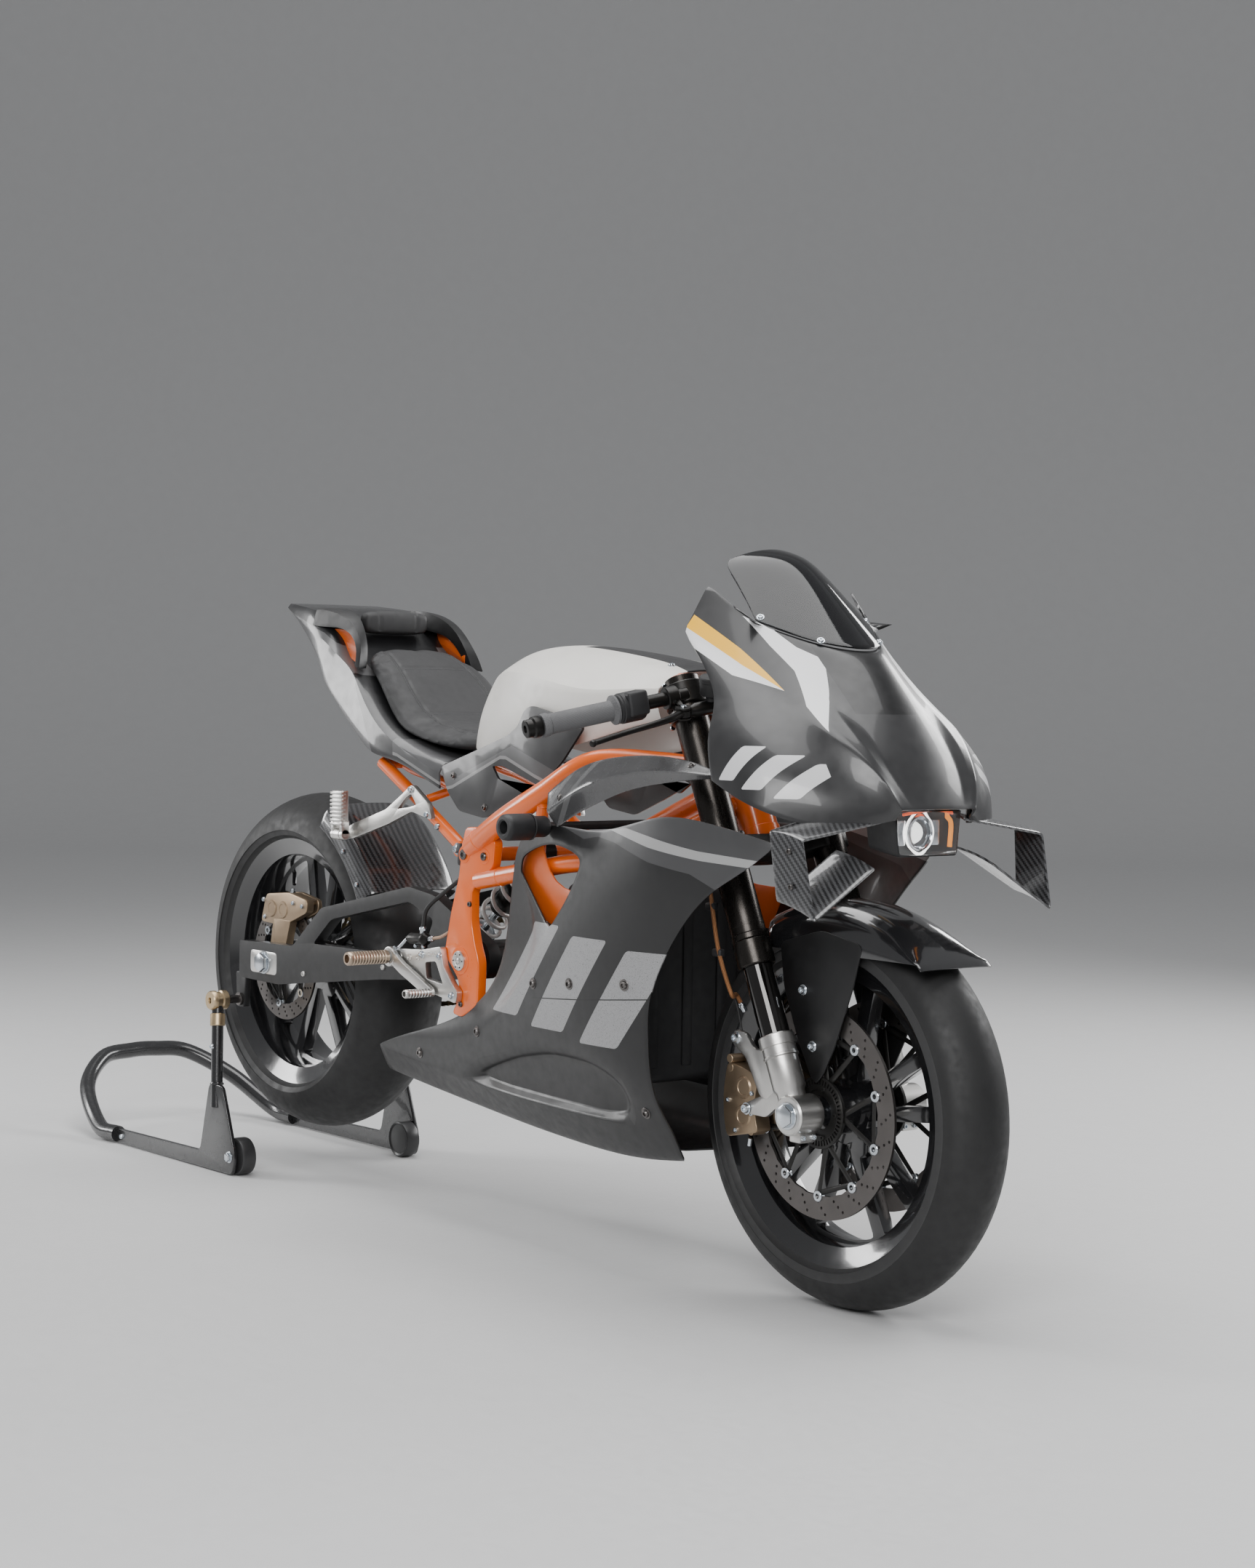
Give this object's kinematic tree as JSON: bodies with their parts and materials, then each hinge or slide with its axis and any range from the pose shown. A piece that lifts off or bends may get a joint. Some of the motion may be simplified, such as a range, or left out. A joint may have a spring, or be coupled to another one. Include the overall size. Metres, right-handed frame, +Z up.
{
  "type": "sport motorcycle",
  "caption": "Full-fairing sport motorcycle on its rear paddock stand, with working steering, suspension, wheels, controls and folding pegs.",
  "frame": {"origin": "On the floor, under the middle of the whole object's length and on its middle plane", "axes": "+X forward, to the front wheel; +Y to the rider's left; +Z up"},
  "size_m": [2.5098, 0.7782, 1.1447],
  "materials": {
    "frame_orange": "satin orange powder coat",
    "body_black": "matte black painted panel with grey bands",
    "body_grey": "dark grey satin panel",
    "gloss_black": "gloss black",
    "tank_white": "satin warm white paint",
    "seat_cover": "grained dark grey seat cover",
    "duct_grey": "smoky translucent grey",
    "plastic_black": "moulded black plastic",
    "tyre": "slick tyre rubber",
    "grip_rubber": "knurled grey rubber",
    "machined_silver": "machined, satin",
    "anodised_black": "black anodised, satin",
    "cast_grey": "cast, painted dark grey",
    "steel": "brushed",
    "disc_steel": "ground disc track",
    "bronze": "bronze anodised",
    "carbon": "carbon twill under lacquer",
    "smoked_screen": "smoked, clear gloss",
    "lamp_glass": "clear lamp cover over a projector",
    "stand_black": "black powder coat",
    "roller_plastic": "hard black wheel"
  },
  "bodies": {
    "chassis": {"main_frame": "frame_orange", "subframe": "frame_orange", "battery_case": "body_black", "motor": "cast_grey", "tank_cover": "tank_white", "seat_pad": "seat_cover", "side_panel_right": "body_grey", "side_panel_left": "body_grey", "tail_cowl": "body_black", "tail_pad": "seat_cover", "nose_fairing": "body_grey", "windscreen": "smoked_screen", "side_fairing_right": "body_black", "side_fairing_left": "body_black", "winglets": "carbon", "headlight": "lamp_glass", "intake_duct_right": "duct_grey", "intake_duct_left": "duct_grey", "crash_bobbins": "plastic_black", "footrest_bracket_right": "machined_silver", "footrest_bracket_left": "machined_silver", "passenger_bracket_right": "machined_silver", "passenger_bracket_left": "machined_silver", "swingarm_pivot_axle": "machined_silver"},
    "steering": {"lower_clamp": "anodised_black", "top_clamp": "anodised_black", "fork_tube_right": "anodised_black", "fork_tube_left": "anodised_black", "handlebar_right": "anodised_black", "handlebar_left": "anodised_black"},
    "throttle": {"throttle_grip": "grip_rubber"},
    "brake_lever": {"brake_lever": "anodised_black"},
    "fork_slider": {"fork_leg_right": "machined_silver", "fork_leg_left": "machined_silver", "front_fender": "gloss_black", "front_caliper_right": "bronze", "front_caliper_left": "bronze", "front_axle": "steel"},
    "front_wheel": {"front_tyre": "tyre", "front_rim": "gloss_black", "front_disc_right": "disc_steel", "front_disc_left": "disc_steel"},
    "swingarm": {"swingarm": "anodised_black", "rear_hugger": "carbon", "rear_caliper": "bronze", "chain": "steel", "rear_axle": "steel"},
    "rear_wheel": {"rear_tyre": "tyre", "rear_rim": "gloss_black", "rear_disc": "disc_steel", "rear_sprocket": "steel"},
    "drive_sprocket": {"drive_sprocket": "steel"},
    "brake_pedal": {"brake_pedal": "machined_silver"},
    "passenger_peg_right": {"passenger_peg_right": "anodised_black"},
    "passenger_peg_left": {"passenger_peg_left": "anodised_black"},
    "shock_body": {"shock_body": "anodised_black"},
    "shock_rod": {"shock_rod": "steel"},
    "stand": {"stand_frame": "stand_black"},
    "stand_roller_right": {"stand_roller_right": "roller_plastic"},
    "stand_roller_left": {"stand_roller_left": "roller_plastic"}
  },
  "joints": [
    {"name": "steering_turn", "type": "hinge", "parent": "chassis", "child": "steering", "pos_m": [0.71723, 0, 0.74457], "axis": [-0.4067, 0, 0.9135], "range_deg": [-20, 20]},
    {"name": "throttle_twist", "type": "hinge", "parent": "steering", "child": "throttle", "pos_m": [0.671, -0.24, 0.892], "axis": [-0.2172, -0.9548, -0.2029], "range_deg": [0, 70], "stiffness_Nm_per_rad": 0.5, "springref_deg": -11.46},
    {"name": "brake_lever_pull", "type": "hinge", "parent": "steering", "child": "brake_lever", "pos_m": [0.724, -0.15, 0.889], "axis": [-0.2377, 0.1987, -0.9508], "range_deg": [0, 16], "stiffness_Nm_per_rad": 5, "springref_deg": -5.73},
    {"name": "fork_travel", "type": "slide", "parent": "steering", "child": "fork_slider", "axis": [-0.4067, 0, 0.9135], "range_m": [0, 0.08], "stiffness_N_per_m": 14000, "springref_m": -0.06},
    {"name": "front_wheel_spin", "type": "hinge", "parent": "fork_slider", "child": "front_wheel", "pos_m": [0.955, 0, 0.3], "axis": [0, 1, 0], "continuous": true},
    {"name": "swingarm_travel", "type": "hinge", "parent": "chassis", "child": "swingarm", "pos_m": [0.176, 0, 0.463], "axis": [0, 1, 0], "range_deg": [0, 7], "stiffness_Nm_per_rad": 7000, "springref_deg": -6.88},
    {"name": "rear_wheel_spin", "type": "hinge", "parent": "swingarm", "child": "rear_wheel", "pos_m": [-0.519, 0, 0.397], "axis": [0, 1, 0], "continuous": true},
    {"name": "drive_sprocket_spin", "type": "hinge", "parent": "chassis", "child": "drive_sprocket", "pos_m": [0.246, 0.1035, 0.455], "axis": [0, 1, 0], "continuous": true},
    {"name": "brake_pedal_press", "type": "hinge", "parent": "chassis", "child": "brake_pedal", "pos_m": [-0.002, -0.196, 0.456], "axis": [0, 1, 0], "range_deg": [0, 12], "stiffness_Nm_per_rad": 5, "springref_deg": -6.88},
    {"name": "passenger_peg_fold_right", "type": "hinge", "parent": "chassis", "child": "passenger_peg_right", "pos_m": [-0.184, -0.186, 0.657], "axis": [1, 0, 0], "range_deg": [0, 90]},
    {"name": "passenger_peg_fold_left", "type": "hinge", "parent": "chassis", "child": "passenger_peg_left", "pos_m": [-0.184, 0.186, 0.657], "axis": [-1, 0, 0], "range_deg": [0, 90]},
    {"name": "shock_swing", "type": "hinge", "parent": "chassis", "child": "shock_body", "pos_m": [0.171, 0, 0.64], "axis": [0, 1, 0], "range_deg": [0, 4.4]},
    {"name": "shock_travel", "type": "slide", "parent": "shock_body", "child": "shock_rod", "axis": [0.7654, 0, 0.6436], "range_m": [0, 0.0175]},
    {"name": "stand_swing", "type": "hinge", "parent": "swingarm", "child": "stand", "pos_m": [-0.606, 0, 0.32], "axis": [0, 1, 0], "range_deg": [0, 50]},
    {"name": "stand_roller_spin_right", "type": "hinge", "parent": "stand", "child": "stand_roller_right", "pos_m": [-0.519, -0.183, 0.035], "axis": [0, 1, 0], "continuous": true},
    {"name": "stand_roller_spin_left", "type": "hinge", "parent": "stand", "child": "stand_roller_left", "pos_m": [-0.519, 0.183, 0.035], "axis": [0, 1, 0], "continuous": true}
  ],
  "couplings": [
    {"joint": "drive_sprocket_spin", "follows": "rear_wheel_spin", "ratio": 2.6667},
    {"joint": "shock_swing", "follows": "swingarm_travel", "ratio": 0.617},
    {"joint": "shock_travel", "follows": "swingarm_travel", "m_per_rad": 0.13869}
  ]
}
